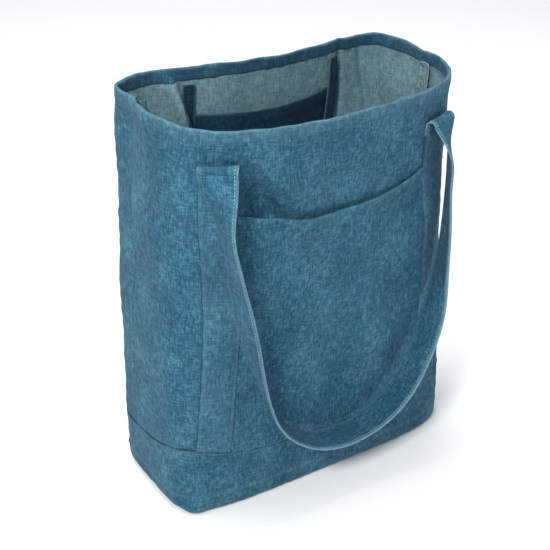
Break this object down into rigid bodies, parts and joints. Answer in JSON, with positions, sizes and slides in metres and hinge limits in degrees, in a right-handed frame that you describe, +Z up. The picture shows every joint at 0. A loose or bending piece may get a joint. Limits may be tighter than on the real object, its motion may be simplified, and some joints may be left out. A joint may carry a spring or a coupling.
{
  "type": "knitting bag",
  "caption": "Tall soft washed-linen tote for knitting: rounded mouth, base band, front patch pocket, inner pocket and strap handles that swing from hanging to raised.",
  "frame": {"origin": "centre of the underside of the base", "axes": "+X to the right seen from the front, front faces -Y, +Z up"},
  "size_m": [0.3114, 0.2285, 0.38],
  "materials": {
    "body_cloth": "washed slubby blue linen-denim, matte, paler on worn edges",
    "pocket_cloth": "same cloth, unworn and darker",
    "strap_cloth": "same cloth folded double, edge-stitched, rubbed pale at its edges",
    "raw_edge": "wrong side of the cloth with a frayed raw edge",
    "thread": "pale blue sewing thread"
  },
  "bodies": {
    "bag": {"front_panel": "body_cloth", "back_panel": "body_cloth", "base_cloth": "body_cloth", "front_pocket": "body_cloth", "inner_pocket": "pocket_cloth", "inner_pocket_left_tape": "pocket_cloth", "inner_pocket_right_tape": "pocket_cloth", "front_left_strap_band": "strap_cloth", "front_right_strap_band": "strap_cloth", "back_left_strap_band": "strap_cloth", "back_right_strap_band": "strap_cloth", "left_seam_allowance": "raw_edge", "right_seam_allowance": "raw_edge", "base_seam_allowance": "raw_edge", "rim_stitching": "thread", "base_stitching": "thread", "side_seam_stitching": "thread", "front_band_stitching": "thread", "back_band_stitching": "thread", "front_pocket_stitching": "thread", "inner_pocket_stitching": "thread"},
    "front_loop": {"front_handle": "strap_cloth", "front_handle_stitching": "thread"},
    "back_loop": {"back_handle": "strap_cloth", "back_handle_stitching": "thread"}
  },
  "joints": [
    {"name": "front_handle_swing", "type": "hinge", "parent": "bag", "child": "front_loop", "pos_m": [0, -0.0915, 0.346], "axis": [-0.9989, 0.0472, 0], "range_deg": [0, 160]},
    {"name": "back_handle_swing", "type": "hinge", "parent": "bag", "child": "back_loop", "pos_m": [0, 0.085, 0.346], "axis": [0.9988, -0.0483, 0], "range_deg": [0, 160]}
  ]
}
